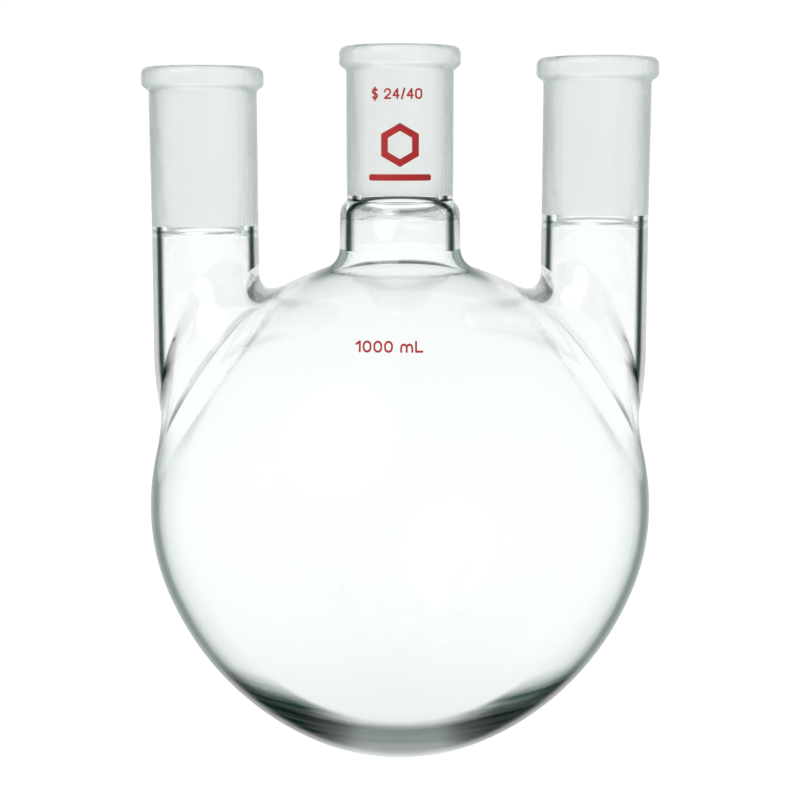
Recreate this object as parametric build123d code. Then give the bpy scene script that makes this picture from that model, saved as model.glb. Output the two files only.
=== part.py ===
from build123d import *
from math import cos, radians, sin, sqrt
import os

# Three-neck round bottom flask of blown borosilicate glass, 1000 ml.
# The origin is the lowest point of the bulb, +Z is up and the three necks stand in a row along X.
# Each neck ends in a 24/40 standard taper socket with a beaded mouth.
# A glassblower seals the sockets and the neck tubes to the blown bulb.

# Bulb
bulb_diameter = 131.0
bulb_wall = 2.1
bulb_stretch = 1.0  # the lower half of a blown bulb hangs a little longer than a ball's
flank_radius = 76.0  # and is flatter between these two angles up from its lowest point
flank_low = 30.0
flank_high = 70.0
base_wall = 6.0  # glass gathers at the bottom
base_flatness = 5.0  # the floor's radius is this much larger than the inner ball's

# Standard taper socket
large_bore = 24.0
ground_length = 40.0
taper = 10.0  # length per unit of diameter
mouth_clearance = 0.15  # the lead-in over the large end, on radius
lead_length = 1.2
socket_wall = 1.7  # at the large end
bead_width = 1.8  # the bead stands out of the tube
bead_height = 4.6
bead_skirt = 1.4  # the bead runs out to the tube over this height
bead_top_round = 1.9
bead_low_round = 1.3
bead_root_round = 1.3
mouth_round = 0.4
undercut_height = 1.8  # below the ground zone the bore opens to the plain tube
undercut_depth = 0.6

# Side necks
left_neck_rise = 48.1  # the mouth over the top of the bulb
right_neck_rise = 50.5
side_neck_swell = 0.25  # the tube is a little wider at its root
side_neck_root_wall = 1.5
neck_edge = 1.25  # the tube stands this far inside the bulb's width
root_start = 41.0  # above the bulb's centre, where a side neck starts to draw in
root_curve = 100.0  # radius of that curve
root_depth = 30.0
collar_reach = 8.0  # the blown collar stands this far out of the bulb
weld_fillet = 4.0

# Centre neck
centre_neck_rise = 53.3
centre_neck_step = 2.0  # the neck is wider than its socket, on radius
centre_neck_wall = 2.4
centre_neck_draw = 0.2  # the neck narrows this much towards its shoulder, on radius
shoulder_height = 3.8
centre_seal = 38.8  # the neck's shoulder is sealed on this far below the mouth
flare_radius = 4.5  # the bulb flares up into the centre neck
flare_wall = 2.3
seal_height = 0.5  # the neck is sealed on this far above the flare

# Fired enamel marks
enamel_thickness = 0.1
stroke_width = 0.45
size_mark_drop = 12.15  # below the centre mouth
size_mark_shift = -0.8
size_digit_height = 2.25
size_digit_width = 0.6  # share of their height
emblem_drop = 24.7
emblem_width = 9.4
emblem_line = 1.7
bar_drop = 32.7
bar_width = 15.5
bar_thickness = 1.6
capacity_mark_latitude = 46.7  # degrees up the bulb
capacity_mark_shift = -2.5
capacity_digit_height = 2.05
capacity_digit_width = 0.79

bulb_radius = bulb_diameter / 2
bulb_centre = bulb_radius + bulb_stretch
bulb_top = bulb_centre + bulb_radius
inner_radius = bulb_radius - bulb_wall
floor_radius = inner_radius + base_flatness
large_radius = large_bore / 2
small_radius = large_radius - ground_length / taper / 2
mouth_radius = large_radius + mouth_clearance
socket_radius = large_radius + socket_wall
side_bore = small_radius + undercut_depth
side_root_radius = socket_radius + side_neck_swell
side_root_bore = side_root_radius - side_neck_root_wall
neck_offset = bulb_radius - neck_edge - side_root_radius
neck_radius = socket_radius + centre_neck_step
neck_bore = neck_radius - centre_neck_wall
ground_end = lead_length + ground_length  # below the mouth
side_seal = ground_end + undercut_height
centre_mouth = bulb_top + centre_neck_rise
side_mouths = {"left": bulb_top + left_neck_rise, "right": bulb_top + right_neck_rise}
side_places = {"left": -neck_offset, "right": neck_offset}


def profile(*edges):
    """Face in the XZ plane from a closed outline of (radius, height) edges."""
    return make_face([Plane.XZ * edge for edge in edges])


def turned(face, x=0.0):
    """Solid turned from a profile about the upright axis at x."""
    return Pos(x, 0, 0) * revolve(face, Axis.Z, 360)


def rounded(face, corner, radius):
    """Profile with the corner nearest to (radius, height) rounded."""
    nearest = face.vertices().sort_by_distance(Vector(corner[0], 0, corner[1]))[0]
    return fillet(nearest, radius)


def flare_foot(ball_radius, shaft_radius, flare):
    """Height at which a flare round an upright shaft on top of the bulb's ball meets the shaft."""
    return bulb_centre + sqrt((ball_radius + flare) ** 2 - (shaft_radius + flare) ** 2)


def lower_arcs():
    """(centre, radius, start, end) of the three arcs of the bulb's lower half, as angles up from its lowest point."""
    low, high = radians(flank_low), radians(flank_high)
    across = bulb_radius - (sin(high) - sin(low)) * flank_radius
    down = bulb_centre - (cos(low) - cos(high)) * flank_radius
    share = sin(low) * cos(high) - (1 - sin(high)) * (1 - cos(low))
    cap = (across * cos(high) - down * (1 - sin(high))) / share
    turn = (down * sin(low) - across * (1 - cos(low))) / share
    reach = cap - flank_radius
    return [
        ((0, cap), cap, 0, flank_low),
        ((reach * sin(low), cap - reach * cos(low)), flank_radius, flank_low, flank_high),
        ((bulb_radius - turn, bulb_centre), turn, flank_high, 90),
    ]


def lower_outline(wall):
    """Edges of the bulb's lower half, set in by a wall."""
    edges = []
    for (x, z), radius, start, end in lower_arcs():
        angles = [radians(start), radians((start + end) / 2), radians(end)]
        r = radius - wall
        edges.append(ThreePointArc(*[(x + r * sin(a), z - r * cos(a)) for a in angles]))
    return edges


neck_foot = flare_foot(bulb_radius, neck_radius, flare_radius) + seal_height


def flared_ball(wall, shaft_radius, flare):
    """Profile of the bulb with a flared shaft on top, set in by a wall, up to the seal under the centre neck."""
    ball_radius = bulb_radius - wall
    foot = (shaft_radius, flare_foot(ball_radius, shaft_radius, flare))
    share = ball_radius / (ball_radius + flare)
    on_ball = ((shaft_radius + flare) * share, bulb_centre + (foot[1] - bulb_centre) * share)
    widest = (ball_radius, bulb_centre)
    midway = (ball_radius * cos(radians(40)), bulb_centre + ball_radius * sin(radians(40)))
    lowest = (0, wall)
    return profile(
        *lower_outline(wall),
        ThreePointArc(widest, midway, on_ball),
        RadiusArc(on_ball, foot, flare),
        Line(foot, (shaft_radius, neck_foot)),
        Line((shaft_radius, neck_foot), (0, neck_foot)),
        Line((0, neck_foot), lowest),
    )


def bulb_hollow():
    """Hollow of the bulb and its flare, flatter at the bottom, where the glass is thick."""
    ball = flared_ball(bulb_wall, neck_bore, flare_radius + flare_wall)
    floor_centre = base_wall + floor_radius
    floor = Pos(0, floor_centre) * Circle(floor_radius)
    room = Pos(0, floor_centre) * Rectangle(
        2 * floor_radius, centre_mouth, align=(Align.CENTER, Align.MIN)
    )
    return turned(ball & (Plane.XZ * (floor + room)))


def drawn_rod(radius, root_radius, top, x):
    """Upright rod for a side neck, root_radius wide where it starts to draw in."""
    start = bulb_centre + root_start
    draw = root_curve - sqrt(root_curve**2 - root_depth**2)
    end = (root_radius - draw, start - root_depth)
    rod = profile(
        Line((0, top), (radius, top)),
        Line((radius, top), (root_radius, start)),
        RadiusArc((root_radius, start), end, root_curve),
        Line(end, (0, end[1])),
        Line((0, end[1]), (0, top)),
    )
    return turned(rod, x)


def side_zone(x):
    """Space outside the collar's ball in which a side neck tube stands."""
    column = Pos(x, 0, bulb_centre) * Cylinder(
        socket_radius + 2 * weld_fillet, centre_mouth, align=(Align.CENTER, Align.CENTER, Align.MIN)
    )
    return column - Pos(0, 0, bulb_centre) * Sphere(bulb_radius + collar_reach)


def side_welds(shape):
    """Edges where the side necks run into the bulb."""
    plain = (GeomType.CIRCLE, GeomType.LINE)
    curved = [edge for edge in shape.edges() if edge.geom_type not in plain]
    return [edge for edge in curved if abs(edge.center().X) > neck_offset / 2]


def glass_body():
    """Bulb and side neck tubes in one shell, up to the seals under the sockets."""
    outside = turned(flared_ball(0, neck_radius, flare_radius))
    inside = bulb_hollow()
    for side, x in side_places.items():
        seal = side_mouths[side] - side_seal
        outside += drawn_rod(socket_radius, side_root_radius, seal, x)
        inside += drawn_rod(side_bore, side_root_bore, seal, x)
    return fillet(side_welds(outside), weld_fillet) - inside


def socket(mouth, x, tail):
    """Tapered socket with a beaded mouth. tail is the bore's outline from the seal to the ground zone's small end."""
    points = [
        (mouth_radius, mouth),
        (socket_radius + bead_width, mouth),
        (socket_radius + bead_width, mouth - bead_height),
        (socket_radius, mouth - bead_height - bead_skirt),
        (socket_radius, tail[0][1]),
        *tail,
        (large_radius, mouth - lead_length),
        (mouth_radius, mouth - lead_length),
    ]
    face = make_face(Plane.XZ * Polyline(*points, close=True))
    for corner, rounding in zip(points, [mouth_round, bead_top_round, bead_low_round, bead_root_round]):
        face = rounded(face, corner, rounding)
    return turned(face, x)


def taper_radius(depth):
    """Radius of the ground bore this far below the mouth."""
    return large_radius - (depth - lead_length) / taper / 2


def side_socket(side):
    mouth = side_mouths[side]
    seal = mouth - side_seal
    tail = [(side_bore, seal), (side_bore, seal + undercut_height / 3), (small_radius, mouth - ground_end)]
    return socket(mouth, side_places[side], tail)


def centre_socket():
    return socket(centre_mouth, 0, [(taper_radius(centre_seal), centre_mouth - centre_seal)])


def centre_neck():
    """Tube between the centre socket and the bulb's flare. Its shoulder holds the last of the taper."""
    top = centre_mouth - centre_seal
    bore = (taper_radius(centre_seal), top)
    shoulder = (neck_radius - centre_neck_draw, top - shoulder_height)
    hollow = (neck_bore - centre_neck_draw, shoulder[1] - centre_neck_wall / 2)
    roof = (small_radius, centre_mouth - ground_end)
    neck = profile(
        Line(bore, (socket_radius, top)),
        RadiusArc((socket_radius, top), shoulder, 1.3 * shoulder_height),
        Line(shoulder, (neck_radius, neck_foot)),
        Line((neck_radius, neck_foot), (neck_bore, neck_foot)),
        Line((neck_bore, neck_foot), hollow),
        RadiusArc(hollow, roof, -shoulder_height),
        Line(roof, bore),
    )
    return turned(neck)


def stroke(*edges):
    """Strokes of the lettering, drawn with one round pen."""
    pen = Circle(stroke_width / 2)
    ends = [Pos(edge @ at) * pen for edge in edges for at in (0, 1)]
    return Sketch() + [trace(edge, line_width=stroke_width) for edge in edges] + ends


def oval(width, height):
    """Upright oval of two half circles and two sides."""
    r = width / 2
    return [
        CenterArc((r, r), r, 180, 180),
        CenterArc((r, height - r), r, 0, 180),
        Line((0, r), (0, height - r)),
        Line((width, r), (width, height - r)),
    ]


def glyph(sign, h, w):
    """Strokes and width of one sign of height h, where a digit is w wide."""
    r = w / 2
    if sign == "0":
        return stroke(*oval(w, h)), w
    if sign == "1":
        return stroke(Line((0, 0.75 * h), (r, h)), Line((r, h), (r, 0))), r
    if sign == "2":
        top = CenterArc((r, h - r), r, -40, 220)
        return stroke(top, Line(top @ 0, (0, 0)), Line((0, 0), (w, 0))), w
    if sign == "4":
        bar = 0.3 * h
        stem = 0.75 * w
        return stroke(Line((stem, h), (0, bar)), Line((0, bar), (w, bar)), Line((stem, h), (stem, 0))), w
    if sign == "/":
        return stroke(Line((0, -0.05 * h), (r, 1.05 * h))), r
    if sign == "S":  # standard taper sign, an S with an upright stroke
        q = h / 4
        bows = [CenterArc((r, h - q), q, 30, 240), CenterArc((r, q), q, -150, 240)]
        return stroke(*bows, Line((r, -0.18 * h), (r, 1.18 * h))), w
    if sign == "L":
        return stroke(Line((0, h), (0, 0)), Line((0, 0), (0.9 * w, 0))), 0.9 * w
    arch = 0.4 * w  # the letter m
    low = 0.72 * h - arch
    legs = [Line((2 * n * arch, 0), (2 * n * arch, low)) for n in range(3)]
    arches = [CenterArc(((2 * n + 1) * arch, low), arch, 0, 180) for n in range(2)]
    return stroke(*legs, *arches), 4 * arch


def lettering(text, h, wide):
    """Flat lettering, centred on its own width and height. wide is a digit's width over its height."""
    gap = 0.55 * wide * h
    parts = []
    x = 0.0
    for sign in text:
        if sign == " ":
            x += 1.4 * gap
            continue
        shape, width = glyph(sign, h, wide * h)
        parts.append(Pos(x, 0) * shape)
        x += width + gap
    return Pos(-(x - gap) / 2, -h / 2) * (Sketch() + parts)


def fired_on(artwork, height, skin, shift=0.0):
    """Enamel in the artwork's shape on the front of a thin skin."""
    bars = extrude(Plane.XZ * (Pos(shift, height) * artwork), bulb_diameter, dir=(0, -1, 0))
    pieces = [piece for bar in bars.solids() for piece in (bar & skin).solids()]
    return Compound(children=pieces)


def tube_skin():
    tube = Cylinder(socket_radius, 3 * centre_mouth)
    return Cylinder(socket_radius + enamel_thickness, 3 * centre_mouth) - tube


def ball_skin():
    skin = Sphere(bulb_radius + enamel_thickness) - Sphere(bulb_radius)
    return Pos(0, 0, bulb_centre) * skin


def emblem():
    """Six-sided ring over a plain bar."""
    ring = RegularPolygon(emblem_width / 2, 6, major_radius=False, rotation=30)
    ring -= RegularPolygon(emblem_width / 2 - emblem_line, 6, major_radius=False, rotation=30)
    bar = RectangleRounded(bar_width, bar_thickness, bar_thickness / 3)
    return ring + Pos(0, emblem_drop - bar_drop) * bar


def save(name, shape):
    solids = shape.solids()
    whole = solids[0] if len(solids) == 1 else Compound(children=list(solids))
    export_step(whole, f"parts/{name}.step")


os.makedirs("parts", exist_ok=True)

body = glass_body()
bulb = body
for side, x in side_places.items():
    zone = side_zone(x)
    bulb -= zone
    save(f"{side}_neck", body & zone)
    save(f"{side}_joint", side_socket(side))
save("bulb", bulb)
save("centre_neck", centre_neck())
save("centre_joint", centre_socket())

size_mark = lettering("S 24/40", size_digit_height, size_digit_width)
capacity_mark = lettering("1000 mL", capacity_digit_height, capacity_digit_width)
capacity_height = bulb_centre + bulb_radius * sin(radians(capacity_mark_latitude))
save("joint_size_mark", fired_on(size_mark, centre_mouth - size_mark_drop, tube_skin(), size_mark_shift))
save("neck_emblem", fired_on(emblem(), centre_mouth - emblem_drop, tube_skin()))
save("capacity_mark", fired_on(capacity_mark, capacity_height, ball_skin(), capacity_mark_shift))
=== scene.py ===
import bpy
import bmesh
import math
import numpy as np
from mathutils import Matrix, Vector


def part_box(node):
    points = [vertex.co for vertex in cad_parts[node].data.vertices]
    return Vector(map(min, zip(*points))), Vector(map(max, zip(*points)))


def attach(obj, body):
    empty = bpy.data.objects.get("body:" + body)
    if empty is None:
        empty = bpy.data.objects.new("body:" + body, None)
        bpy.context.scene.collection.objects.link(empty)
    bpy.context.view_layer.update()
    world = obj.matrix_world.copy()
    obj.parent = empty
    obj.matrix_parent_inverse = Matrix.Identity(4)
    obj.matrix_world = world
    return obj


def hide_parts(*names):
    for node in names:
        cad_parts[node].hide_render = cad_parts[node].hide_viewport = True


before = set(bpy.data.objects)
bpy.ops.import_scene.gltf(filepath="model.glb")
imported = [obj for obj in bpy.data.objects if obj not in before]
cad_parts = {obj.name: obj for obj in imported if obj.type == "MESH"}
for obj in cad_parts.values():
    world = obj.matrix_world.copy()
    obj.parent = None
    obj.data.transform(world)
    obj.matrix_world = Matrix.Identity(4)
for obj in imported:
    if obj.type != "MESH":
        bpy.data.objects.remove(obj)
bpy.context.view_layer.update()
mm = 0.001
sides = ("left", "centre", "right")
print("frame loaded:", ", ".join(sorted(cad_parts)))

# heights and places come from the frame, in millimetres
lowOf = lambda node: [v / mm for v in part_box(node)[0]]
highOf = lambda node: [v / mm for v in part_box(node)[1]]
bulbRadius = round(highOf("bulb")[0] - lowOf("bulb")[0]) / 2
neckFoot = lowOf("centre_neck")[2]
mouthAt = {side: highOf(side + "_joint")[2] for side in sides}
sealAt = {side: lowOf(side + "_joint")[2] for side in sides}
axisAt = {side: round((lowOf(side + "_joint")[0] + highOf(side + "_joint")[0]) / 2, 1) for side in sides}
beadRadius = round((highOf("left_joint")[0] - lowOf("left_joint")[0]) / 2, 1)


# shader trees

class Wire:
    # wraps one socket, so that shader maths reads as an expression
    def __init__(self, tree, socket):
        self.tree = tree
        self.socket = socket

    def maths(self, operation, *values):
        return addNode(self.tree, "ShaderNodeMath", {"operation": operation}, dict(enumerate(values)))

    def __add__(self, other):
        return self.maths("ADD", self, other)

    def __radd__(self, other):
        return self.maths("ADD", other, self)

    def __sub__(self, other):
        return self.maths("SUBTRACT", self, other)

    def __rsub__(self, other):
        return self.maths("SUBTRACT", other, self)

    def __mul__(self, other):
        return self.maths("MULTIPLY", self, other)

    def __rmul__(self, other):
        return self.maths("MULTIPLY", other, self)

    def __truediv__(self, other):
        return self.maths("DIVIDE", self, other)

    def __rtruediv__(self, other):
        return self.maths("DIVIDE", other, self)

    def __pow__(self, other):
        return self.maths("POWER", self, other)

    def clamped(self, low=0.0, high=1.0):
        return addNode(self.tree, "ShaderNodeClamp", None, {"Value": self, "Min": low, "Max": high})


def addNode(tree, kind, settings=None, sockets=None, out=0):
    node = tree.nodes.new(kind)
    for name, value in (settings or {}).items():
        if name == "stops":
            fillRamp(node.color_ramp, value)
        else:
            setattr(node, name, value)
    for name, value in (sockets or {}).items():
        if isinstance(value, Wire):
            tree.links.new(value.socket, node.inputs[name])
        else:
            node.inputs[name].default_value = value
    return Wire(tree, node.outputs[out]) if node.outputs else node


def fillRamp(ramp, stops):
    while len(ramp.elements) > 1:
        ramp.elements.remove(ramp.elements[-1])
    for i, (place, colour) in enumerate(stops):
        stop = ramp.elements[0] if i == 0 else ramp.elements.new(place)
        stop.position = place
        stop.color = (*colour, 1.0)


def newTree(name):
    material = bpy.data.materials.new(name)
    material.use_nodes = True
    material.node_tree.nodes.clear()
    return material, material.node_tree


def letLampsThrough(tree, shader, tint):
    # lamps shine through glass as through a pale filter, so it throws only a light shadow
    path = addNode(tree, "ShaderNodeLightPath", out=1)
    clear = addNode(tree, "ShaderNodeBsdfTransparent", None, {"Color": tint})
    return addNode(tree, "ShaderNodeMixShader", None, {0: path, 1: shader, 2: clear})


glassLook = {
    "ior": 1.473,
    "tint": (0.970, 0.979, 0.974, 1),
    "lampTint": (0.985, 0.99, 0.988, 1),
    "waveScale": 45.0,
    "waveDepth": 0.00005,
    "innerShadeCurve": 1.5,
    # for each finish, all painted shade: how much of a darker glass copy is mixed in where light is turned
    # back inside the wall, that copy's colour, and how the skin is painted darker as it turns edge on, a
    # painted dark outline (0 is face on, 1 is edge on)
    "bulbOut": (0.80, (0.17, 0.26, 0.23, 1), [
        (0.0, 0.0), (0.5, 0.0), (0.66, 0.08), (0.74, 0.36), (0.80, 0.62), (1.0, 0.2)]),
    "bulbIn": (0.85, (0.17, 0.26, 0.23, 1), [(0.0, 0.0), (0.6, 0.0), (1.0, 0.12)]),
    "neckOut": (0.10, (0.02, 0.05, 0.04, 1), [
        (0.0, 0.0), (0.36, 0.03), (0.46, 0.97), (0.54, 0.97), (0.62, 0.35), (1.0, 0.2)]),
    "neckIn": (0.20, (0.10, 0.15, 0.13, 1), [(0.0, 0.0), (0.6, 0.0), (1.0, 0.3)]),
    "footOut": (0.10, (0.02, 0.05, 0.04, 1), [
        (0.0, 0.0), (0.32, 0.03), (0.44, 0.97), (0.52, 0.97), (0.60, 0.12), (1.0, 0.08)]),
    "socketOut": (0.0, (0.38, 0.45, 0.43, 1), [
        (0.0, 0.0), (0.2, 0.03), (0.3, 0.13), (0.5, 0.53), (0.66, 0.7), (1.0, 0.5)]),
    # thick base of the bulb, painted shade: darker at the sides than in the middle, and lighter again at the
    # very edge
    "baseShadeTint": (0.020, 0.068, 0.054, 1),
    "baseShadeHeight": (0.036, 0.026),             # where it begins and where it is full, as in the pairs below
    "baseShadeAside": (0.008, 0.026),
    "baseInnerShade": (0.08, 0.70),                 # middle, sides
    "baseShadeShare": (0.30, 1.0),
    "baseEdgeShade": [(0.0, 0.0), (0.52, 0.0), (0.545, 0.8), (0.60, 1.0), (0.78, 1.0), (0.86, 0.25), (1.0, 0.35)],
    "baseShadeStreakScale": (18.0, 18.0, 420.0),
    "baseShadeStreakRange": (0.55, 1.45),
    # roots of the side necks, painted darker, by distance from their axes, height, and distance from the
    # middle plane
    "rootShadeTint": (0.02, 0.05, 0.04, 1),
    "rootShadeAway": (0.034, 0.027),
    "rootShadeHeight": (0.083, 0.093),
    "rootShadeOuter": (0.057, 0.0605),
    "rootShadeEdge": (0.090, 0.102),
    "rootBeside": (0.007, 0.013),
    "rootInnerShade": 0.20,
    "rootClear": (0.60, 0.90),                # share of the fold lines that is melted away: left, right
    "sideChange": (-0.010, 0.010),
}


def smoothBetween(wire, start, end):
    share = ((wire - start) / (end - start)).clamped()
    return share * share * (3 - 2 * share)


def glassSkin(tree, colour, bump):
    return addNode(tree, "ShaderNodeBsdfGlass", None, {
        "Color": colour, "IOR": glassLook["ior"], "Roughness": 0.0, "Normal": bump})


# painted dark outline: the ramp makes the skin darker as it turns edge on
def paintedEdgeShade(tree, facing, stops):
    return addNode(tree, "ShaderNodeValToRGB", {"stops": [(at, (v, v, v)) for at, v in stops]}, {0: facing})


def clearGlass(finish):
    look = glassLook
    innerShadeShare, shadeTint, edge = look[finish]
    material, tree = newTree(finish + "Glass")
    place = addNode(tree, "ShaderNodeTexCoord", out=3)
    wave = addNode(tree, "ShaderNodeTexNoise", None, {
        "Vector": place, "Scale": look["waveScale"], "Detail": 1.0})
    bump = addNode(tree, "ShaderNodeBump", None, {
        "Height": wave, "Distance": look["waveDepth"], "Strength": 1.0})
    inside = addNode(tree, "ShaderNodeNewGeometry", out=6)
    mirror = addNode(tree, "ShaderNodeFresnel", None, {"IOR": look["ior"], "Normal": bump})
    # painted shade: a darker copy of the glass is mixed in by facing on the outer side, and by reflectance
    # where light turns back inside
    facing = addNode(tree, "ShaderNodeLayerWeight", None, {"Blend": 0.5, "Normal": bump}, 1)
    rim = paintedEdgeShade(tree, facing, edge)
    dim = glassSkin(tree, shadeTint, bump)
    melted = None
    if finish.startswith("bulb"):
        across, deep, rise = (addNode(tree, "ShaderNodeSeparateXYZ", None, {"Vector": place}, axis)
                              for axis in range(3))
        aside = rise.maths("ABSOLUTE", across)
        # low marks the thick base, where painted shade is added
        low = smoothBetween(rise, *look["baseShadeHeight"])
        side = smoothBetween(aside, *look["baseShadeAside"])
        # root marks the side necks' roots, where painted shade is added
        away = ((aside - axisAt["right"] * mm) ** 2 + deep * deep) ** 0.5
        root = smoothBetween(away, *look["rootShadeAway"]) * smoothBetween(rise, *look["rootShadeHeight"])
        # stretched noise streaks the painted base shade
        stretched = addNode(tree, "ShaderNodeVectorMath", {"operation": "MULTIPLY"}, {
            0: place, 1: look["baseShadeStreakScale"]})
        shadeStreak = addNode(tree, "ShaderNodeTexNoise", None, {"Vector": stretched, "Scale": 1.0, "Detail": 1.0})
        least, most = look["baseShadeStreakRange"]
        shadeStreak = least + (most - least) * shadeStreak
        # strength of the painted base shade, from the middle to the sides
        baseInnerShade, baseShadeShare = [(middle + (far - middle) * side) * shadeStreak
                               for middle, far in (look["baseInnerShade"], look["baseShadeShare"])]
        # painted shade inside the wall, made stronger in the base and at the necks' roots
        innerShadeShare = innerShadeShare + (baseInnerShade - innerShadeShare) * low + (look["rootInnerShade"] - innerShadeShare) * root
        innerShadeShare = innerShadeShare.clamped()
        if finish == "bulbOut":
            # outer limits the painted dark outline at the roots
            outer = smoothBetween(aside, *look["rootShadeOuter"]) * smoothBetween(rise, *look["rootShadeEdge"])
            # painted dark outline of the base, lighter again at the very edge
            baseRimShade = paintedEdgeShade(tree, facing, look["baseEdgeShade"])
            rootRimShade = paintedEdgeShade(tree, facing, look["neckOut"][2])
            rim = rim * (1 - low) * (1 - root) + baseRimShade * baseShadeShare * low + rootRimShade * root * outer
            rim = rim.clamped()
        # darker glass copies for the painted shade at the base and at the necks' roots
        for share, tint in ((low, look["baseShadeTint"]), (root, look["rootShadeTint"])):
            zoneShadeGlass = glassSkin(tree, tint, bump)
            dim = addNode(tree, "ShaderNodeMixShader", None, {0: share, 1: dim, 2: zoneShadeGlass})
        leftClear, rightClear = look["rootClear"]
        melted = leftClear + (rightClear - leftClear) * smoothBetween(across, *look["sideChange"])
        melted = inside * mirror * root * melted * smoothBetween(
            rise.maths("ABSOLUTE", deep), *look["rootBeside"])
    # share of the darker glass copy: painted shade inside the wall where light turns back, and a painted dark
    # outline on the outer side
    dark = inside * mirror ** look["innerShadeCurve"] * innerShadeShare + (1 - inside) * rim
    bright = glassSkin(tree, look["tint"], bump)
    both = addNode(tree, "ShaderNodeMixShader", None, {0: dark, 1: bright, 2: dim})
    if melted is not None:
        clear = addNode(tree, "ShaderNodeBsdfTransparent", None, {"Color": look["tint"]})
        both = addNode(tree, "ShaderNodeMixShader", None, {0: melted, 1: both, 2: clear})
    surface = letLampsThrough(tree, both, look["lampTint"])
    addNode(tree, "ShaderNodeOutputMaterial", None, {"Surface": surface})
    return material


groundLook = {
    "roughness": 0.32,
    "tint": (0.985, 0.995, 0.992, 1),
    "haze": 0.18,                            # share of light that the ground skin scatters
    "hazeColour": (0.955, 0.975, 0.965, 1),
    "lampTint": (0.95, 0.96, 0.955, 1),
    "grainScale": 2600.0,
    "grainDepth": 0.00006,
}


def groundGlass():
    look = groundLook
    material, tree = newTree("groundGlass")
    place = addNode(tree, "ShaderNodeTexCoord", out=3)
    grain = addNode(tree, "ShaderNodeTexNoise", None, {
        "Vector": place, "Scale": look["grainScale"], "Detail": 3.0})
    bump = addNode(tree, "ShaderNodeBump", None, {
        "Height": grain, "Distance": look["grainDepth"], "Strength": 0.6})
    rough = addNode(tree, "ShaderNodeBsdfGlass", None, {
        "Color": look["tint"], "IOR": glassLook["ior"], "Roughness": look["roughness"], "Normal": bump})
    white = addNode(tree, "ShaderNodeBsdfTranslucent", None, {"Color": look["hazeColour"], "Normal": bump})
    both = addNode(tree, "ShaderNodeMixShader", None, {0: look["haze"], 1: rough, 2: white})
    surface = letLampsThrough(tree, both, look["lampTint"])
    addNode(tree, "ShaderNodeOutputMaterial", None, {"Surface": surface})
    return material


def sealedGlass():
    # where two pieces of glass are fused, light passes straight on
    material, tree = newTree("sealedGlass")
    clear = addNode(tree, "ShaderNodeBsdfTransparent", None, {"Color": (1, 1, 1, 1)})
    addNode(tree, "ShaderNodeOutputMaterial", None, {"Surface": clear})
    return material


enamelLook = {
    "dark": (0.26, 0.006, 0.006),
    "light": (0.34, 0.010, 0.009),
    "cloudScale": 900.0,
    "grainDepth": 0.00002,
    "roughness": 0.38,
    "ior": 1.35,
}


def redEnamel():
    look = enamelLook
    material, tree = newTree("redEnamel")
    place = addNode(tree, "ShaderNodeTexCoord", out=3)
    cloud = addNode(tree, "ShaderNodeTexNoise", None, {
        "Vector": place, "Scale": look["cloudScale"], "Detail": 4.0})
    stops = [(0.3, look["dark"]), (0.7, look["light"])]
    colour = addNode(tree, "ShaderNodeValToRGB", {"stops": stops}, {0: cloud})
    bump = addNode(tree, "ShaderNodeBump", None, {
        "Height": cloud, "Distance": look["grainDepth"], "Strength": 0.5})
    paint = addNode(tree, "ShaderNodeBsdfPrincipled", None, {
        "Base Color": colour, "Roughness": look["roughness"], "IOR": look["ior"], "Normal": bump})
    addNode(tree, "ShaderNodeOutputMaterial", None, {"Surface": paint})
    return material


glassOf = {finish: clearGlass(finish)
           for finish in ("bulbOut", "bulbIn", "neckOut", "neckIn", "footOut", "socketOut")}
groundMaterial = groundGlass()
sealedMaterial = sealedGlass()
enamelMaterial = redEnamel()
print("materials made")


# turned pieces: a profile of (radius, height, rounding) is rounded and turned by Geometry Nodes

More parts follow.
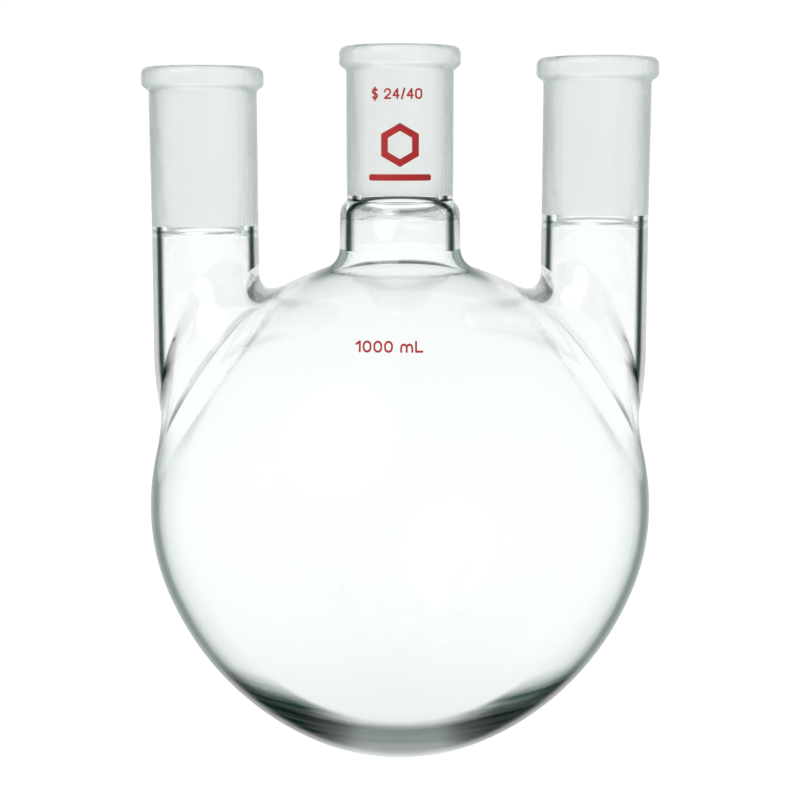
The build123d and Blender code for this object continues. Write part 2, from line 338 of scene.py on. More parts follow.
def turningTree():
    tree = bpy.data.node_groups.new("turnedGlass", "GeometryNodeTree")
    face = tree.interface
    profile = face.new_socket("Profile", in_out="INPUT", socket_type="NodeSocketObject")
    inputs = {"Profile": profile.identifier}
    for name, kind, value in (("Axis Place", "NodeSocketFloat", 0.0), ("Steps Around", "NodeSocketInt", 192),
                              ("Corner Steps", "NodeSocketInt", 10), ("Ground Low", "NodeSocketFloat", 0.0),
                              ("Ground High", "NodeSocketFloat", 0.0), ("Seal Low", "NodeSocketFloat", 0.0),
                              ("Seal High", "NodeSocketFloat", 0.0), ("Clear", "NodeSocketMaterial", None),
                              ("Ground", "NodeSocketMaterial", None), ("Foot", "NodeSocketMaterial", None),
                              ("Sealed", "NodeSocketMaterial", None)):
        socket = face.new_socket(name, in_out="INPUT", socket_type=kind)
        inputs[name] = socket.identifier
        if value is not None:
            socket.default_value = value
    face.new_socket("Geometry", in_out="OUTPUT", socket_type="NodeSocketGeometry")
    given = tree.nodes.new("NodeGroupInput")
    source = {socket.name: Wire(tree, socket) for socket in given.outputs if socket.name}

    drawn = addNode(tree, "GeometryNodeObjectInfo", None, {"Object": source["Profile"]}, 4)
    size = addNode(tree, "GeometryNodeInputRadius")
    cornered = addNode(tree, "GeometryNodeFilletCurve", {"mode": "POLY"}, {
        "Curve": drawn, "Count": source["Corner Steps"], "Radius": size, "Limit Radius": False})
    dots = addNode(tree, "GeometryNodeCurveToPoints", {"mode": "EVALUATED"}, {"Curve": cornered})
    count = addNode(tree, "GeometryNodeAttributeDomainSize", {"component": "POINTCLOUD"}, {"Geometry": dots})
    grid = addNode(tree, "GeometryNodeMeshGrid", None, {
        "Size X": 1.0, "Size Y": 1.0, "Vertices X": source["Steps Around"] + 1, "Vertices Y": count + 1})
    spot = addNode(tree, "GeometryNodeInputPosition")
    gridX = addNode(tree, "ShaderNodeSeparateXYZ", None, {"Vector": spot}, 0)
    gridY = addNode(tree, "ShaderNodeSeparateXYZ", None, {"Vector": spot}, 1)
    turn = (gridX + 0.5) * (2 * math.pi)
    step = spot.maths("ROUND", (gridY + 0.5) * count)
    wrapped = spot.maths("FLOORED_MODULO", step, count)
    onProfile = addNode(tree, "GeometryNodeSampleIndex", {"data_type": "FLOAT_VECTOR", "domain": "POINT"}, {
        "Geometry": dots, "Index": wrapped})
    sampler = onProfile.socket.node
    vectorIn = [s for s in sampler.inputs if s.name == "Value" and s.enabled][0]
    tree.links.new(addNode(tree, "GeometryNodeInputPosition").socket, vectorIn)
    reach = addNode(tree, "ShaderNodeSeparateXYZ", None, {"Vector": onProfile}, 0)
    rise = addNode(tree, "ShaderNodeSeparateXYZ", None, {"Vector": onProfile}, 2)
    turned = addNode(tree, "ShaderNodeCombineXYZ", None, {
        "X": reach * spot.maths("COSINE", turn) + source["Axis Place"],
        "Y": reach * spot.maths("SINE", turn), "Z": rise})
    shaped = addNode(tree, "GeometryNodeSetPosition", None, {"Geometry": grid, "Position": turned})
    closed = addNode(tree, "GeometryNodeMergeByDistance", None, {"Geometry": shaped, "Distance": 1e-7})
    # zones: ground faces look at the axis within the ground band, sealed faces are the flat ends
    normal = addNode(tree, "GeometryNodeInputNormal")
    place = addNode(tree, "GeometryNodeInputPosition")
    height = addNode(tree, "ShaderNodeSeparateXYZ", None, {"Vector": place}, 2)
    across = addNode(tree, "ShaderNodeSeparateXYZ", None, {"Vector": place}, 0) - source["Axis Place"]
    deep = addNode(tree, "ShaderNodeSeparateXYZ", None, {"Vector": place}, 1)
    normalX = addNode(tree, "ShaderNodeSeparateXYZ", None, {"Vector": normal}, 0)
    normalY = addNode(tree, "ShaderNodeSeparateXYZ", None, {"Vector": normal}, 1)
    normalZ = addNode(tree, "ShaderNodeSeparateXYZ", None, {"Vector": normal}, 2)
    inward = spot.maths("LESS_THAN", across * normalX + deep * normalY, 0.0)
    ground = inward * spot.maths("GREATER_THAN", height, source["Ground Low"]) * \
        spot.maths("LESS_THAN", height, source["Ground High"])
    belowGround = (1 - inward) * spot.maths("LESS_THAN", height, source["Ground Low"])
    atLow = spot.maths("LESS_THAN", spot.maths("ABSOLUTE", height - source["Seal Low"]), 1e-5)
    atHigh = spot.maths("LESS_THAN", spot.maths("ABSOLUTE", height - source["Seal High"]), 1e-5)
    flat = spot.maths("GREATER_THAN", spot.maths("ABSOLUTE", normalZ), 0.99)
    sealed = flat * spot.maths("MAXIMUM", atLow, atHigh)
    sharp = spot.maths("GREATER_THAN", addNode(tree, "GeometryNodeInputMeshEdgeAngle"), 0.6)
    smooth = addNode(tree, "GeometryNodeSetShadeSmooth", {"domain": "FACE"}, {
        "Geometry": closed, "Shade Smooth": True})
    creased = addNode(tree, "GeometryNodeSetShadeSmooth", {"domain": "EDGE"}, {
        "Geometry": smooth, "Selection": sharp, "Shade Smooth": False})
    real = addNode(tree, "GeometryNodeRealizeInstances", None, {"Geometry": creased})
    painted = addNode(tree, "GeometryNodeSetMaterial", None, {"Geometry": real, "Material": source["Clear"]})
    painted = addNode(tree, "GeometryNodeSetMaterial", None, {
        "Geometry": painted, "Selection": ground, "Material": source["Ground"]})
    painted = addNode(tree, "GeometryNodeSetMaterial", None, {
        "Geometry": painted, "Selection": belowGround, "Material": source["Foot"]})
    painted = addNode(tree, "GeometryNodeSetMaterial", None, {
        "Geometry": painted, "Selection": sealed, "Material": source["Sealed"]})
    result = tree.nodes.new("NodeGroupOutput")
    tree.links.new(painted.socket, result.inputs[0])
    return tree, inputs


turning, turningInputs = turningTree()


def turnedPiece(name, points, values):
    # points are (radius, height, rounding) in millimetres, going round the glass section
    curve = bpy.data.curves.new(name + "Profile", "CURVE")
    curve.dimensions = "3D"
    spline = curve.splines.new("POLY")
    spline.points.add(len(points) - 1)
    for spot, (radius, height, rounding) in zip(spline.points, points):
        spot.co = (radius * mm, 0, height * mm, 1)
        spot.radius = rounding * mm
    spline.use_cyclic_u = True
    shell = bpy.data.objects.new(name, bpy.data.meshes.new(name))
    bpy.context.collection.objects.link(shell)
    drawn = bpy.data.objects.new(name + "Profile", curve)
    bpy.context.collection.objects.link(drawn)
    modifier = shell.modifiers.new("turning", "NODES")
    modifier.node_group = turning
    for label, value in {**values, "Profile": drawn}.items():
        modifier[turningInputs[label]] = value
    return shell, drawn


def settled(shell, extras=()):
    # keeps the evaluated mesh as a plain mesh and drops the modifiers
    bpy.context.view_layer.update()
    seen = shell.evaluated_get(bpy.context.evaluated_depsgraph_get())
    mesh = bpy.data.meshes.new_from_object(seen)
    shell.modifiers.clear()
    shell.data = mesh
    mesh.name = shell.name
    for extra in extras:
        bpy.data.objects.remove(extra)
    turnOutwards(mesh)
    return shell


def turnOutwards(mesh):
    # one closed shell has a positive volume when its faces point outwards
    mesh.calc_loop_triangles()
    spots = np.empty(len(mesh.vertices) * 3)
    mesh.vertices.foreach_get("co", spots)
    spots = spots.reshape(-1, 3)
    corners = np.empty(len(mesh.loop_triangles) * 3, int)
    mesh.loop_triangles.foreach_get("vertices", corners)
    a, b, c = spots[corners.reshape(-1, 3)].transpose(1, 0, 2)
    volume = np.einsum("ij,ij->i", a, np.cross(b, c)).sum() / 6
    if volume < 0:
        mesh.flip_normals()
    print("  ", mesh.name, "faces", len(mesh.polygons), "glass volume", round(abs(volume) * 1e6, 2), "ml")


seam = 0.005                 # hair gap left at a fused seam


def arcBetween(start, end, radius, steps=8):
    # points on the arc from start to end that bulges to the left of the way there
    start, end = np.array(start, float), np.array(end, float)
    middle, along = (start + end) / 2, end - start
    length = np.hypot(*along)
    aside = np.array([-along[1], along[0]]) / length
    centre = middle - aside * math.sqrt(radius ** 2 - length ** 2 / 4)
    first, last = (math.atan2(*(spot - centre)[::-1]) for spot in (start, end))
    turn = (last - first + math.pi) % (2 * math.pi) - math.pi
    angles = [first + turn * i / steps for i in range(steps + 1)]
    return [(centre[0] + radius * math.cos(t), centre[1] + radius * math.sin(t), 0) for t in angles]


socketShape = {                                # millimetres
    "tubeRadius": 13.7,
    "mouthRadius": 12.15,
    "largeRadius": 12.0,
    "smallRadius": 10.0,
    "leadLength": 1.2,
    "groundLength": 40.0,
    "beadHeight": 4.6,
    "beadSkirt": 1.4,
    "mouthRound": 0.4,
    "beadRounds": (1.9, 1.3, 1.3),
    "undercut": 1.2,
    "undercutDrop": 0.5,
    "undercutRound": 0.3,
    "leadRound": 0.02,
    "frostStop": 0.3,                          # ground skin ends this far below the mouth
    "frostStart": {"left": 40.0, "centre": 37.4, "right": 39.6},    # and begins this far below it
    "stepsAround": 192,
    "cornerSteps": 8,
}


socketTaper = (socketShape["largeRadius"] - socketShape["smallRadius"]) / socketShape["groundLength"]


def socketPiece(side):
    shape = socketShape
    mouth = mouthAt[side]
    seal = sealAt[side]
    lead = mouth - shape["leadLength"]
    groundEnd = lead - shape["groundLength"]
    frostEnd = mouth - shape["frostStart"][side]
    topRound, lowRound, rootRound = shape["beadRounds"]
    points = [
        (shape["mouthRadius"], mouth, shape["mouthRound"]),
        (beadRadius, mouth, topRound),
        (beadRadius, mouth - shape["beadHeight"], lowRound),
        (shape["tubeRadius"], mouth - shape["beadHeight"] - shape["beadSkirt"], rootRound),
        (shape["tubeRadius"], frostEnd, 0),
        (shape["tubeRadius"], seal, 0),
    ]
    if side == "centre":
        points.append((shape["smallRadius"] + (seal - groundEnd) * socketTaper, seal, 0))
    else:
        opened = shape["smallRadius"] + shape["undercut"]
        points += [
            (opened, seal, 0),
            (opened, groundEnd - shape["undercutDrop"], shape["undercutRound"]),
            (shape["smallRadius"], groundEnd, shape["undercutRound"]),
        ]
    points += [
        (shape["smallRadius"] + (frostEnd - groundEnd) * socketTaper, frostEnd, 0),
        (shape["largeRadius"], lead, shape["leadRound"]),
        (shape["mouthRadius"], lead, 0),
    ]
    shell, drawn = turnedPiece(side + "Socket", points[::-1], {
        "Axis Place": axisAt[side] * mm,
        "Steps Around": shape["stepsAround"], "Corner Steps": shape["cornerSteps"],
        "Ground Low": frostEnd * mm, "Ground High": (mouth - shape["frostStop"]) * mm,
        "Seal Low": seal * mm, "Seal High": -1.0,
        "Clear": glassOf["socketOut"], "Ground": groundMaterial,
        "Foot": glassOf["footOut" if side == "centre" else "neckOut"], "Sealed": sealedMaterial})
    return settled(shell, [drawn])


centreNeckShape = {
    "topRadius": 15.5,
    "footRadius": 15.7,
    "wall": 2.4,
    "shoulderHeight": 3.8,
    "shoulderRound": 4.94,
    "roofDrop": 1.2,                           # the inner shoulder lies this much lower
    "roofRound": 3.8,
    "roofEase": 0.03,
}


def centreNeckPiece():
    shape = centreNeckShape
    top = sealAt["centre"] - seam
    foot = neckFoot + seam
    tube = socketShape["tubeRadius"]
    bore = socketShape["smallRadius"]
    roof = mouthAt["centre"] - socketShape["leadLength"] - socketShape["groundLength"]
    shoulder = top - shape["shoulderHeight"]
    points = arcBetween((tube, top), (shape["topRadius"], shoulder), shape["shoulderRound"])
    points += [(shape["footRadius"], foot, 0), (shape["footRadius"] - shape["wall"], foot, 0)]
    inner = (shape["topRadius"] - shape["wall"] + shape["roofEase"], shoulder - shape["roofDrop"])
    points += arcBetween((bore, roof), inner, shape["roofRound"])[::-1]
    points.append((bore + (top - roof) * socketTaper, top, 0))
    shell, drawn = turnedPiece("centreNeck", points[::-1], {
        "Axis Place": axisAt["centre"] * mm,
        "Steps Around": socketShape["stepsAround"], "Corner Steps": socketShape["cornerSteps"],
        "Ground Low": -1.0, "Ground High": 1.0, "Seal Low": foot * mm, "Seal High": top * mm,
        "Clear": glassOf["footOut"], "Ground": glassOf["neckIn"], "Foot": glassOf["footOut"],
        "Sealed": sealedMaterial})
    return settled(shell, [drawn])


# the bulb and the side neck tubes follow one rule: the distance to the outer or inner skin, in millimetres

bulbShape = {
    "wall": 2.1,
    "stretch": 1.0,                           # the lower half hangs this much lower than a ball's
    "flank": (76.0, 30.0, 70.0),              # flatter part of it: radius, from and to these degrees
    "baseWall": 6.0,
    "floorFlatness": 5.0,
    "floorBlend": 1.5,
    "neckRadius": 15.7,
    "neckWall": 2.4,
    "flareBlend": (3.7, 5.2),                 # outside, inside
    "tube": (13.7, 13.95),                    # outer radius at the seal and at the root
    "bore": (11.2, 12.45),
    "rootStart": 41.0,
    "rootCurve": 100.0,
    # outside then inside: on the bulb's side, in front and behind, on the far side
    "rootBlend": ((6.0, 12.0, 1.5), (8.0, 18.0, 3.0)),
    "collarReach": 8.0,
    "grid": 1.55,
    "relaxRounds": 24,
    "relaxShare": 0.6,
    "snap": 0.3,
    "spare": 3.5,                             # glass kept over each seal until the cut
    "middleReach": 30.0,                      # nearer the middle than this is the centre neck's part
}
farAway = 99.0
innerRadius = bulbRadius - bulbShape["wall"]
floorRadius = innerRadius + bulbShape["floorFlatness"]
bulbCentre = np.array([0.0, 0.0, bulbRadius + bulbShape["stretch"]])
collarRadius = bulbRadius + bulbShape["collarReach"]


def roundUnion(a, b, blend):
    near = np.maximum(blend, np.minimum(a, b))
    return near - np.hypot(np.maximum(blend - a, 0), np.maximum(blend - b, 0))


def softMax(a, b, blend):
    near = np.maximum(blend - np.abs(a - b), 0) / blend
    return np.maximum(a, b) + near ** 2 * blend / 4


def lowerArcs():
    # (centre r, centre z, radius, highest angle) of the three arcs that make the lower half
    radius, low, high = bulbShape["flank"]
    low, high = math.radians(low), math.radians(high)
    across = bulbRadius - (math.sin(high) - math.sin(low)) * radius
    down = bulbCentre[2] - (math.cos(low) - math.cos(high)) * radius
    both = np.array([[math.sin(low), 1 - math.sin(high)], [1 - math.cos(low), math.cos(high)]])
    cap, turn = np.linalg.solve(both, np.array([across, down]))
    reach = cap - radius
    return [(0.0, cap, cap, low), (reach * math.sin(low), cap - reach * math.cos(low), radius, high),
            (bulbRadius - turn, bulbCentre[2], turn, math.pi / 2)]


def bulbDistance(p, wall):
    away = np.hypot(p[:, 0], p[:, 1])
    result = np.linalg.norm(p - bulbCentre, axis=1) - (bulbRadius - wall)
    for centreR, centreZ, radius, highest in lowerArcs()[::-1]:
        angle = np.arctan2(away - centreR, centreZ - p[:, 2])
        arc = np.hypot(away - centreR, centreZ - p[:, 2]) - (radius - wall)
        result = np.where(angle < highest, arc, result)
    return result


def tubeDistance(p, side, radii):
    # straight taper from the seal to the root, then drawn in on a long curve
    shape = bulbShape
    start = bulbCentre[2] + shape["rootStart"]
    away = np.hypot(p[:, 0] - axisAt[side], p[:, 1])
    share = np.clip((sealAt[side] - p[:, 2]) / (sealAt[side] - start), 0, 1)
    below = np.clip(start - p[:, 2], 0, 0.9 * shape["rootCurve"])
    drawIn = shape["rootCurve"] - np.sqrt(shape["rootCurve"] ** 2 - below ** 2)
    return away - (radii[0] + (radii[1] - radii[0]) * share - drawIn)


def skinDistance(p, inside):
    shape = bulbShape
    ball = bulbDistance(p, shape["wall"] if inside else 0)
    neck = np.hypot(p[:, 0], p[:, 1]) - shape["neckRadius"] + (shape["neckWall"] if inside else 0)
    if inside:
        floorCentre = np.array([0.0, 0.0, shape["baseWall"] + floorRadius])
        floor = np.linalg.norm(p - floorCentre, axis=1) - floorRadius
        ball = softMax(ball, np.where(p[:, 2] < bulbCentre[2], floor, -floorRadius), shape["floorBlend"])
    upper = p[:, 2] > bulbCentre[2]
    whole = roundUnion(ball, np.where(upper, neck, farAway), shape["flareBlend"][inside])
    near, beside, far = shape["rootBlend"][inside]
    for side in ("left", "right"):
        tube = tubeDistance(p, side, shape["bore"] if inside else shape["tube"])
        across = (p[:, 0] - axisAt[side]) * np.sign(axisAt[side])
        outward = across / np.maximum(np.hypot(across, p[:, 1]), 1e-6)
        blend = beside + (far - near) / 2 * outward + ((far + near) / 2 - beside) * outward ** 2
        whole = roundUnion(whole, np.where(upper, tube, farAway), blend)
    return whole


def slopeOf(rule, p, reach=1e-3):
    steps = np.eye(3) * reach
    return np.stack([(rule(p + step) - rule(p - step)) / (2 * reach) for step in steps], axis=1)


def broughtOnto(rules, p, rounds=6):
    # moves points onto one surface, or by turns onto the curve where two meet
    for _ in range(rounds):
        for rule in rules:
            slope = slopeOf(rule, p)
            p = p - slope * (rule(p) / np.maximum((slope ** 2).sum(axis=1), 1e-3))[:, None]
    return p


def spotsOf(verts):
    return np.array([vert.co for vert in verts])


def firstForm(inside):
    # plain solids that overlap, made into one grid of even faces
    shape = bulbShape
    bm = bmesh.new()
    lift = Vector(bulbCentre)
    ball = bmesh.ops.create_icosphere(bm, subdivisions=6, radius=innerRadius if inside else bulbRadius)
    bmesh.ops.translate(bm, verts=ball["verts"], vec=lift)
    stems = [(0.0, shape["neckRadius"] - (shape["neckWall"] if inside else 0), neckFoot)]
    for side in ("left", "right"):
        stems.append((axisAt[side], (shape["bore"] if inside else shape["tube"])[1] - 0.2, sealAt[side]))
    for place, radius, top in stems:
        low = bulbCentre[2] + (4 if place else 20)
        stem = bmesh.ops.create_cone(bm, cap_ends=True, segments=96, radius1=radius, radius2=radius,
                                     depth=top + 5 - low)
        bmesh.ops.translate(bm, verts=stem["verts"], vec=(place, 0, (top + 5 + low) / 2))
    mesh = bpy.data.meshes.new("form")
    bm.to_mesh(mesh)
    bm.free()
    form = bpy.data.objects.new("form", mesh)
    bpy.context.collection.objects.link(form)
    grid = form.modifiers.new("grid", "REMESH")
    grid.mode = "VOXEL"
    grid.voxel_size = shape["grid"]
    bpy.context.view_layer.update()
    made = bpy.data.meshes.new_from_object(form.evaluated_get(bpy.context.evaluated_depsgraph_get()))
    bpy.data.objects.remove(form)
    return made


def seamRule(p):
    # above zero outside the bulb piece: over the middle neck's foot, or beyond the side necks' collars
    middle = np.abs(p[:, 0]) < bulbShape["middleReach"]
    return np.where(middle, p[:, 2] - neckFoot, np.linalg.norm(p - bulbCentre, axis=1) - collarRadius)


def topRule(p):
    seal = np.where(p[:, 0] < 0, sealAt["left"], sealAt["right"]) - seam
    return np.where(np.abs(p[:, 0]) < bulbShape["middleReach"], -farAway, p[:, 2] - seal)


def cutAlong(bm, rule, skin):
    # adds an edge line where the rule is zero; returns its vertices
    bm.verts.ensure_lookup_table()
    verts = list(bm.verts)
    values = rule(spotsOf(verts))
    close = np.abs(values) < bulbShape["snap"]
    if close.any():
        moved = broughtOnto((skin, rule), spotsOf([v for v, c in zip(verts, close) if c]), 10)
        for vert, spot in zip([v for v, c in zip(verts, close) if c], moved):
            vert.co = spot
    values[close] = 0
    valueOf = dict(zip(verts, values))
    rim = [vert for vert in verts if valueOf[vert] == 0]
    fresh = []
    for edge in [e for e in bm.edges if valueOf[e.verts[0]] * valueOf[e.verts[1]] < 0]:
        first, second = edge.verts
        share = valueOf[first] / (valueOf[first] - valueOf[second])
        fresh.append(bmesh.utils.edge_split(edge, first, share)[1])
    if fresh:
        for vert, spot in zip(fresh, broughtOnto((skin, rule), spotsOf(fresh), 10)):
            vert.co = spot
    rim += fresh
    bmesh.ops.connect_verts(bm, verts=rim)
    return rim


def skinForm(inside):
    # one whole skin, cut into zones: 0 bulb, 1 left neck, 2 right neck
    shape = bulbShape
    rule = lambda p: skinDistance(p, inside)
    made = firstForm(inside)
    bm = bmesh.new()
    bm.from_mesh(made)
    bpy.data.meshes.remove(made)
    tops = []
    for vert in bm.verts:
        side = "left" if vert.co.x < 0 else "right"
        end = neckFoot if abs(vert.co.x) < shape["middleReach"] else sealAt[side]
        if vert.co.z > end + shape["spare"]:
            tops.append(vert)
    bmesh.ops.delete(bm, geom=tops, context="VERTS")
    bm.verts.ensure_lookup_table()
    bm.verts.index_update()
    spots = spotsOf(bm.verts)
    ends = np.array([[edge.verts[0].index, edge.verts[1].index] for edge in bm.edges])
    held = np.array([vert.is_boundary for vert in bm.verts])
    degree = np.bincount(ends.ravel(), minlength=len(spots))[:, None]
    spots = broughtOnto((rule,), spots, 8)
    for _ in range(shape["relaxRounds"]):
        total = np.zeros_like(spots)
        np.add.at(total, ends[:, 0], spots[ends[:, 1]])
        np.add.at(total, ends[:, 1], spots[ends[:, 0]])
        spots = np.where(held[:, None], spots, spots + shape["relaxShare"] * (total / degree - spots))
        spots = broughtOnto((rule,), spots, 1)
    spots = broughtOnto((rule,), spots, 5)
    for vert, spot in zip(bm.verts, spots):
        vert.co = spot
    # finer faces where the skin bends sharply
    centres = np.array([face.calc_center_median() for face in bm.faces])
    ball = np.linalg.norm(centres - bulbCentre, axis=1) - (innerRadius if inside else bulbRadius)
    bends = (ball > 0.02) & (centres[:, 2] > bulbCentre[2])
    edges = {edge for face, bent in zip(bm.faces, bends) if bent for edge in face.edges}
    before = set(bm.verts)
    bmesh.ops.subdivide_edges(bm, edges=list(edges), cuts=1, use_grid_fill=True)
    fresh = [vert for vert in bm.verts if vert not in before]
    for vert, spot in zip(fresh, broughtOnto((rule,), spotsOf(fresh), 6)):
        vert.co = spot
    cutAlong(bm, seamRule, rule)
    cutAlong(bm, topRule, rule)
    zones = bm.faces.layers.int.new("zone")
    centres = np.array([face.calc_center_median() for face in bm.faces])
    beyond, above = seamRule(centres) > 0, topRule(centres) > 0
    gone = []
    for face, centre, isBeyond, isAbove in zip(bm.faces, centres, beyond, above):
        if isAbove or (isBeyond and abs(centre[0]) < shape["middleReach"]):
            gone.append(face)
        elif isBeyond:
            face[zones] = 1 if centre[0] < 0 else 2
    bmesh.ops.delete(bm, geom=gone, context="FACES")
    mesh = bpy.data.meshes.new("skin")
    bm.to_mesh(mesh)
    bm.free()
    print("  skin", "inside" if inside else "outside", "faces", len(mesh.polygons))
    return mesh


def loopsOf(edges):
    # follows open edges into closed loops of vertices
    beside = {}
    for edge in edges:
        for vert in edge.verts:
            beside.setdefault(vert, []).append(edge.other_vert(vert))
    loops, left = [], set(beside)
    while left:
        start = vert = left.pop()
        loop = [start]
        while True:
            onward = [other for other in beside[vert] if other in left]
            if not onward:
                break
            vert = onward[0]
            left.discard(vert)
            loop.append(vert)
        loops.append(loop)
    return loops


def turnsAround(loop, place):
    # the loop's vertices in order round the neck's axis, with each one's angle
    angles = [math.atan2(vert.co.y, vert.co.x - place) for vert in loop]
    area = sum(math.sin(b - a) for a, b in zip(angles, angles[1:] + angles[:1]))
    if area < 0:
        loop, angles = loop[::-1], angles[::-1]
    start = min(range(len(loop)), key=lambda i: angles[i])
    loop, angles = loop[start:] + loop[:start], angles[start:] + angles[:start]
    return loop + loop[:1], angles + [angles[0] + 2 * math.pi]


def closeSeam(bm, outerLoop, innerLoop, place, upward):
    outer, outerAt = turnsAround(outerLoop, place)
    inner, innerAt = turnsAround(innerLoop, place)
    i = j = 0
    made = []
    while i < len(outer) - 1 or j < len(inner) - 1:
        nextOuter = outerAt[i + 1] if i < len(outer) - 1 else farAway
        nextInner = innerAt[j + 1] if j < len(inner) - 1 else farAway
        if nextOuter <= nextInner:
            corners = [outer[i], outer[i + 1], inner[j]]
            i += 1
        else:
            corners = [outer[i], inner[j + 1], inner[j]]
            j += 1
        made.append(bm.faces.new(corners if upward else corners[::-1]))
    return made


def shellPiece(name, skins, zone):
    # one zone of the outer and inner skins, joined round each open rim by a narrow sealed face
    bm = bmesh.new()
    zones = bm.faces.layers.int.new("zone")
    sides = bm.faces.layers.int.new("side")
    for inside, skin in enumerate(skins):
        before = set(bm.faces)
        bm.from_mesh(skin)
        fresh = [face for face in bm.faces if face not in before]
        for face in fresh:
            face[sides] = inside
            face.material_index = inside
        if inside:
            bmesh.ops.reverse_faces(bm, faces=fresh)
    bmesh.ops.delete(bm, geom=[face for face in bm.faces if face[zones] != zone], context="FACES")
    for face in bm.faces:
        face.smooth = True
    loops = loopsOf([edge for edge in bm.edges if edge.is_boundary])
    rims = {}
    for loop in loops:
        inside = next(iter(loop[0].link_faces))[sides]
        centre = spotsOf(loop).mean(axis=0)
        column = 0 if abs(centre[0]) < 20 else int(np.sign(centre[0]))
        rims.setdefault((inside, column, zone == 0 or centre[2] > collarHeight), []).append(loop)
    for key, found in rims.items():
        assert len(found) == 1, (name, key, [len(loop) for loop in found])
    for key in [key for key in rims if key[0] == 0]:
        outerLoop, innerLoop = rims[key][0], rims[(1, *key[1:])][0]
        place = {0: 0.0, -1: axisAt["left"], 1: axisAt["right"]}[key[1]]
        offset = seam if zone and not key[2] else -seam
        atCollar = place != 0 and not (zone and key[2])
        for vert in outerLoop + innerLoop:
            if atCollar:
                away = Vector(np.array(vert.co) - bulbCentre).normalized()
                vert.co += away * offset
            elif not place:
                vert.co.z += offset
        for face in closeSeam(bm, outerLoop, innerLoop, place, zone == 0 or key[2]):
            face.material_index = 2
            face[sides] = 2
            for edge in face.edges:
                edge.smooth = not any(f[sides] != 2 for f in edge.link_faces)
    mesh = bpy.data.meshes.new(name)
    for finish in (("neckOut", "neckIn") if zone else ("bulbOut", "bulbIn")):
        mesh.materials.append(glassOf[finish])
    mesh.materials.append(sealedMaterial)
    bm.faces.index_update()
    sideOf = [face[sides] for face in bm.faces]
    bm.to_mesh(mesh)
    bm.free()
    # the skins' own slopes shade them, so that the grid of faces never shows
    spots = spotsOf(mesh.vertices)
    slopes = [slopeOf(lambda p: skinDistance(p, 0), spots), -slopeOf(lambda p: skinDistance(p, 1), spots)]
    slopes = [slope / np.linalg.norm(slope, axis=1)[:, None] for slope in slopes]
    normals = []
    for polygon in mesh.polygons:
        kind = sideOf[polygon.index]
        for corner in polygon.vertices:
            normals.append(tuple(polygon.normal) if kind == 2 else tuple(slopes[kind][corner]))
    mesh.transform(Matrix.Scale(mm, 4))
    mesh.normals_split_custom_set(normals)
    piece = bpy.data.objects.new(name, mesh)
    bpy.context.collection.objects.link(piece)
    mesh.attributes.remove(mesh.attributes["zone"])
    mesh.attributes.remove(mesh.attributes["side"])
    turnOutwards(mesh)
    return piece


collarHeight = 131.0          # splits a side neck's two rims: collar below, seal above

print("bulb and side necks")
skins = [skinForm(0), skinForm(1)]
bulb = shellPiece("flaskBulb", skins, 0)
leftNeck = shellPiece("leftNeckTube", skins, 1)
rightNeck = shellPiece("rightNeckTube", skins, 2)
for skin in skins:
    bpy.data.meshes.remove(skin)

print("turned pieces")
pieces = {"bulb": bulb, "left_neck": leftNeck, "right_neck": rightNeck, "centre_neck": centreNeckPiece()}
for side in sides:
    pieces[side + "_joint"] = socketPiece(side)

for node, piece in pieces.items():
    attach(piece, "root")
    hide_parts(node)

for node in ("joint_size_mark", "neck_emblem", "capacity_mark"):
    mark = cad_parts[node]
    mark.data.materials.clear()
    mark.data.materials.append(enamelMaterial)
print("pieces placed")


# the room: plain pale floor, soft light from all round, a camera

roomLook = {
    "skyLight": 1.025,
    "zenith": 0.80,
    "floorSize": 6.0,
    "floorColour": (0.20, 0.20, 0.20, 1),
    "floorGlow": 0.90,
}


def paleFloor():
    look = roomLook
    bm = bmesh.new()
    bmesh.ops.create_grid(bm, x_segments=24, y_segments=24, size=look["floorSize"])
    mesh = bpy.data.meshes.new("paleFloor")
    bm.to_mesh(mesh)
    bm.free()
    floor = bpy.data.objects.new("paleFloor", mesh)
    bpy.context.collection.objects.link(floor)
    material, tree = newTree("paleFloor")
    matt = addNode(tree, "ShaderNodeBsdfDiffuse", None, {"Color": look["floorColour"], "Roughness": 0.5})
    glow = addNode(tree, "ShaderNodeEmission", None, {"Color": (1, 1, 1, 1), "Strength": look["floorGlow"]})
    both = addNode(tree, "ShaderNodeAddShader", None, {0: matt, 1: glow})
    addNode(tree, "ShaderNodeOutputMaterial", None, {"Surface": both})
    mesh.materials.append(material)
    return floor


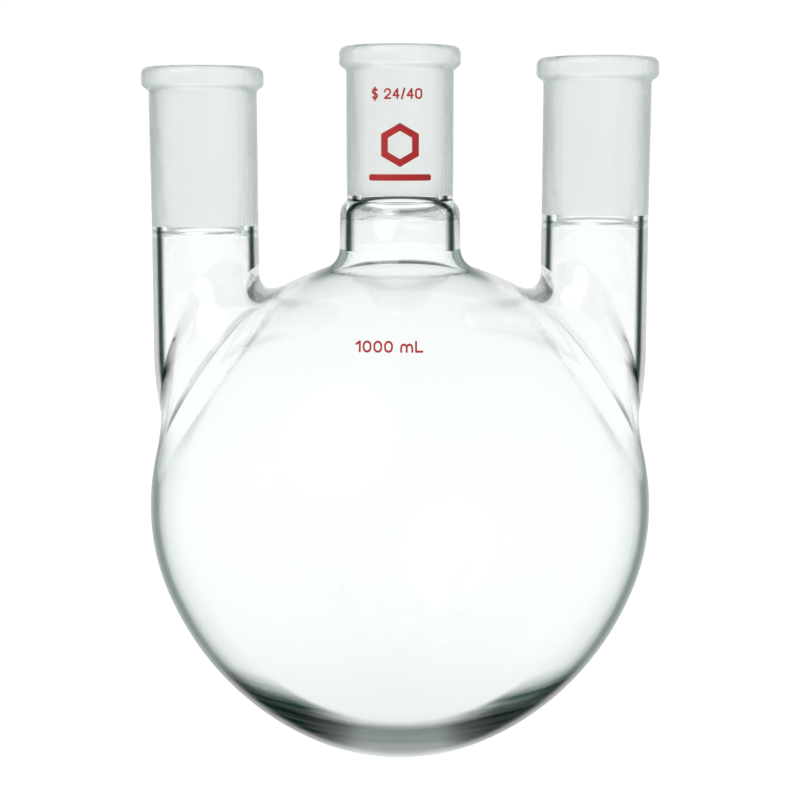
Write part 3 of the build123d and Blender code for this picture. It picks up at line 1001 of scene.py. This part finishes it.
def softRoom():
    look = roomLook
    world = bpy.data.worlds.new("softRoom")
    world.use_nodes = True
    tree = world.node_tree
    tree.nodes.clear()
    way = addNode(tree, "ShaderNodeTexCoord", out=0)
    rise = addNode(tree, "ShaderNodeSeparateXYZ", None, {"Vector": way}, 2)
    level = (1 - rise.clamped() ** 2.0 * (1 - look["zenith"])) * look["skyLight"]
    sky = addNode(tree, "ShaderNodeBackground", None, {"Color": (1, 1, 1, 1), "Strength": level})
    addNode(tree, "ShaderNodeOutputWorld", None, {"Surface": sky})
    bpy.context.scene.world = world


cameraPlace = {
    "height": 0.1617,
    "distance": 0.416,
    "pitch": -9.2,
    "lens": 72.1,
}


def addCamera():
    data = bpy.data.cameras.new("camera")
    data.lens = cameraPlace["lens"]
    data.sensor_width = 36.0
    data.clip_start = 0.01
    camera = bpy.data.objects.new("camera", data)
    camera.location = (0, -cameraPlace["distance"], cameraPlace["height"])
    camera.rotation_euler = (math.radians(90 + cameraPlace["pitch"]), 0, 0)
    bpy.context.collection.objects.link(camera)
    bpy.context.scene.camera = camera


lampLook = {
    "keyPower": 11.0,
    "keySize": 1.3,
    "keyPlace": (-0.6, -0.9, 0.9),
}


def addLamp(name, place, target, size, power):
    data = bpy.data.lights.new(name, "AREA")
    data.shape = "DISK"
    data.size = size
    data.energy = power
    lamp = bpy.data.objects.new(name, data)
    lamp.location = place
    lamp.rotation_euler = (Vector(target) - Vector(place)).to_track_quat("-Z", "Y").to_euler()
    bpy.context.collection.objects.link(lamp)


paleFloor()
softRoom()
addCamera()
addLamp("keyLamp", lampLook["keyPlace"], (0, 0, 0.1), lampLook["keySize"], lampLook["keyPower"])

scene = bpy.context.scene
scene.view_settings.view_transform = "Standard"
scene.cycles.max_bounces = 32
scene.cycles.transmission_bounces = 32
scene.cycles.glossy_bounces = 16
scene.cycles.transparent_max_bounces = 24
scene.cycles.caustics_reflective = False
scene.cycles.caustics_refractive = False
scene.cycles.blur_glossy = 0.0

print("room ready")
